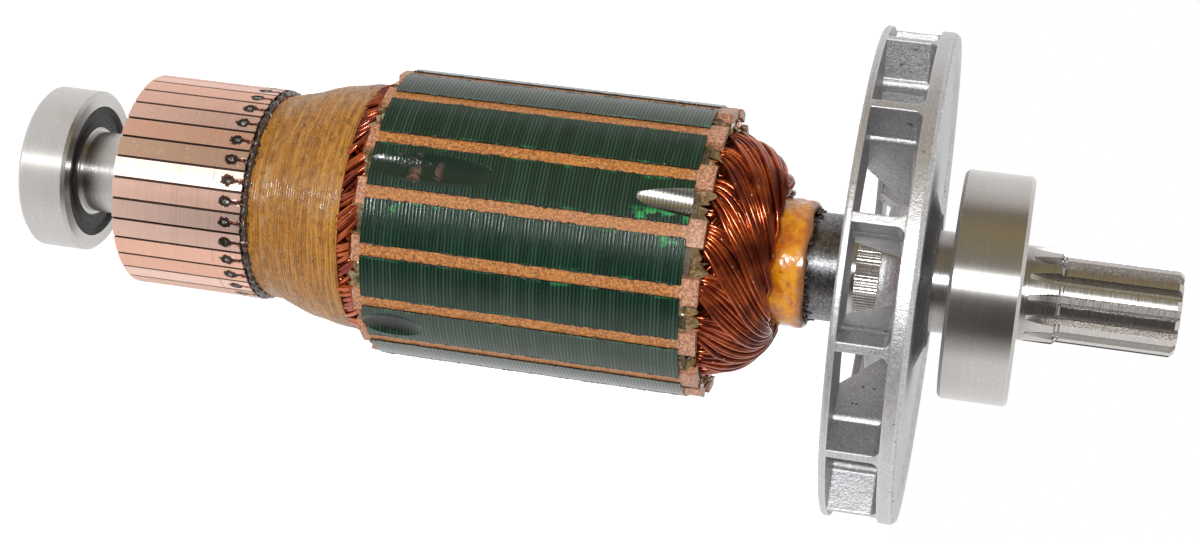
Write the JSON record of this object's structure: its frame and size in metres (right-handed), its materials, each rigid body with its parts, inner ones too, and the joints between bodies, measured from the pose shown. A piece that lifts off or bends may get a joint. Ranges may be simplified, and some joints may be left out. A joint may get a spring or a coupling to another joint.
{
  "type": "motor armature",
  "caption": "Wound armature of a series motor with commutator, slotted core, cord-bound windings, cast fan, ball bearings and a splined drive shaft.",
  "frame": {"origin": "centre of the outer face of the commutator-end bearing, on which the armature stands", "axes": "+Z along the shaft from the commutator end to the splined drive end"},
  "size_m": [0.086, 0.086, 0.2071],
  "materials": {
    "shaft_steel": "turned and ground, with a polished journal",
    "core_varnish": "dark green gloss varnish over fine steel sheets",
    "fibre_plate": "varnished grey-olive fibre",
    "liner_paper": "varnished slot paper",
    "wedge_fibre": "rough brown fibre strip",
    "enamelled_wire": "enamelled copper wire under gloss varnish",
    "amber_tube": "amber tube soaked in varnish",
    "hub_moulding": "brown moulding compound",
    "mica": "dark mica, cut back",
    "bar_copper": "turned copper, a little worn",
    "bare_wire": "burnt copper wire ends",
    "varnished_cord": "cord soaked in amber varnish",
    "cast_aluminium": "sand-grained casting with bright edges",
    "bearing_steel": "ground bearing steel",
    "seal_rubber": "black moulded rubber",
    "cage_plastic": "plain cage",
    "ball_steel": "polished steel"
  },
  "bodies": {
    "rotor": {"shaft": "shaft_steel", "core": "core_varnish", "end_insulator_comm_end": "fibre_plate", "end_insulator_fan_end": "fibre_plate", "slot_liners": "liner_paper", "slot_wedges": "wedge_fibre", "slot_conductors": "enamelled_wire", "winding_comm_end": "enamelled_wire", "winding_fan_end": "enamelled_wire", "shaft_insulating_tube": "amber_tube", "commutator_hub": "hub_moulding", "commutator_mica": "mica", "commutator_bar_01": "bar_copper", "commutator_bar_02": "bar_copper", "commutator_bar_03": "bar_copper", "commutator_bar_04": "bar_copper", "commutator_bar_05": "bar_copper", "commutator_bar_06": "bar_copper", "commutator_bar_07": "bar_copper", "commutator_bar_08": "bar_copper", "commutator_bar_09": "bar_copper", "commutator_bar_10": "bar_copper", "commutator_bar_11": "bar_copper", "commutator_bar_12": "bar_copper", "commutator_bar_13": "bar_copper", "commutator_bar_14": "bar_copper", "commutator_bar_15": "bar_copper", "commutator_bar_16": "bar_copper", "commutator_bar_17": "bar_copper", "commutator_bar_18": "bar_copper", "commutator_bar_19": "bar_copper", "commutator_bar_20": "bar_copper", "commutator_bar_21": "bar_copper", "commutator_bar_22": "bar_copper", "commutator_bar_23": "bar_copper", "commutator_bar_24": "bar_copper", "commutator_bar_25": "bar_copper", "commutator_bar_26": "bar_copper", "commutator_bar_27": "bar_copper", "commutator_bar_28": "bar_copper", "commutator_bar_29": "bar_copper", "commutator_bar_30": "bar_copper", "commutator_bar_31": "bar_copper", "commutator_bar_32": "bar_copper", "bar_leads": "bare_wire", "cord_band": "varnished_cord", "fan": "cast_aluminium", "comm_bearing_inner_ring": "bearing_steel", "drive_bearing_inner_ring": "bearing_steel"},
    "comm_outer": {"comm_bearing_outer_ring": "bearing_steel", "comm_bearing_seal_outside": "seal_rubber", "comm_bearing_seal_inside": "seal_rubber"},
    "comm_rolling_set": {"comm_bearing_cage": "cage_plastic", "comm_bearing_balls": "ball_steel"},
    "drive_outer": {"drive_bearing_outer_ring": "bearing_steel", "drive_bearing_seal_outside": "seal_rubber", "drive_bearing_seal_inside": "seal_rubber"},
    "drive_rolling_set": {"drive_bearing_cage": "cage_plastic", "drive_bearing_balls": "ball_steel"}
  },
  "joints": [
    {"name": "comm_bearing_turn", "type": "hinge", "parent": "rotor", "child": "comm_outer", "pos_m": [0, 0, 0.0045], "axis": [0, 0, 1], "continuous": true},
    {"name": "comm_rolling_turn", "type": "hinge", "parent": "rotor", "child": "comm_rolling_set", "pos_m": [0, 0, 0.0045], "axis": [0, 0, 1], "continuous": true},
    {"name": "drive_bearing_turn", "type": "hinge", "parent": "rotor", "child": "drive_outer", "pos_m": [0, 0, 0.1747], "axis": [0, 0, 1], "continuous": true},
    {"name": "drive_rolling_turn", "type": "hinge", "parent": "rotor", "child": "drive_rolling_set", "pos_m": [0, 0, 0.1747], "axis": [0, 0, 1], "continuous": true}
  ],
  "couplings": [
    {"joint": "comm_rolling_turn", "follows": "comm_bearing_turn", "ratio": 0.619},
    {"joint": "drive_rolling_turn", "follows": "drive_bearing_turn", "ratio": 0.618}
  ]
}
